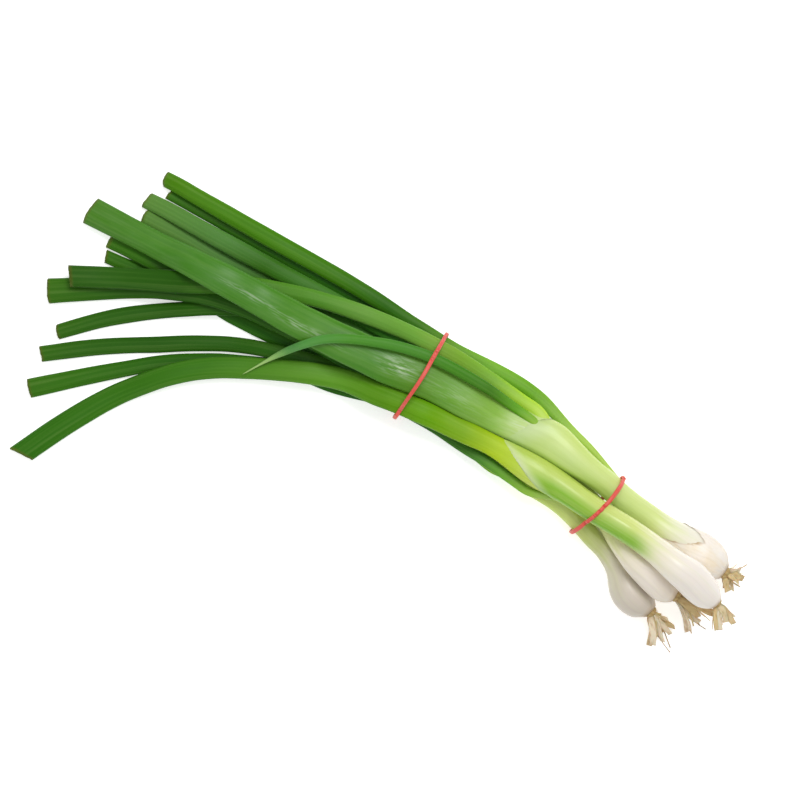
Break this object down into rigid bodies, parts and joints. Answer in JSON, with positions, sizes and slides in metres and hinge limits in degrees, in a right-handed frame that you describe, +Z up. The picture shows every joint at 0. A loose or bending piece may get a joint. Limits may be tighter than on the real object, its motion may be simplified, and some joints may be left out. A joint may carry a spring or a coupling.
{
  "type": "spring onion bunch",
  "caption": "Bunch of spring onions lying on its side: white bulbs with cut roots, green hollow leaves cut square, held together by thin rubber bands.",
  "frame": {"origin": "middle of the footprint, on the surface that the bunch lies on", "axes": "+X along the bunch from the roots to the leaf tips, +Z up, +Y towards the side to which the leaves fan out"},
  "size_m": [0.3584, 0.153, 0.0408],
  "materials": {
    "stalk": "satin, waxy white bulb and false stem that turns yellow-green upwards",
    "leaf": "satin, waxy green leaf with a fine bloom",
    "young_leaf": "satin, light green young leaf with a withered point",
    "roots": "matte, dried tan rootlets",
    "band": "matte coral red rubber"
  },
  "bodies": {
    "root": {"onion_1_stalk": "stalk", "onion_2_stalk": "stalk", "onion_3_stalk": "stalk", "onion_4_stalk": "stalk", "onion_1_roots": "roots", "onion_2_roots": "roots", "onion_3_roots": "roots", "onion_4_roots": "roots", "onion_1_leaf_1": "leaf", "onion_1_leaf_2": "leaf", "onion_1_leaf_3": "leaf", "onion_1_leaf_4": "young_leaf", "onion_2_leaf_1": "leaf", "onion_2_leaf_2": "leaf", "onion_2_leaf_3": "leaf", "onion_3_leaf_1": "leaf", "onion_3_leaf_2": "leaf", "onion_3_leaf_3": "leaf", "onion_3_leaf_4": "leaf", "onion_4_leaf_1": "leaf", "onion_4_leaf_2": "leaf", "onion_4_leaf_3": "leaf", "band_lower": "band", "band_upper": "band"}
  },
  "joints": []
}
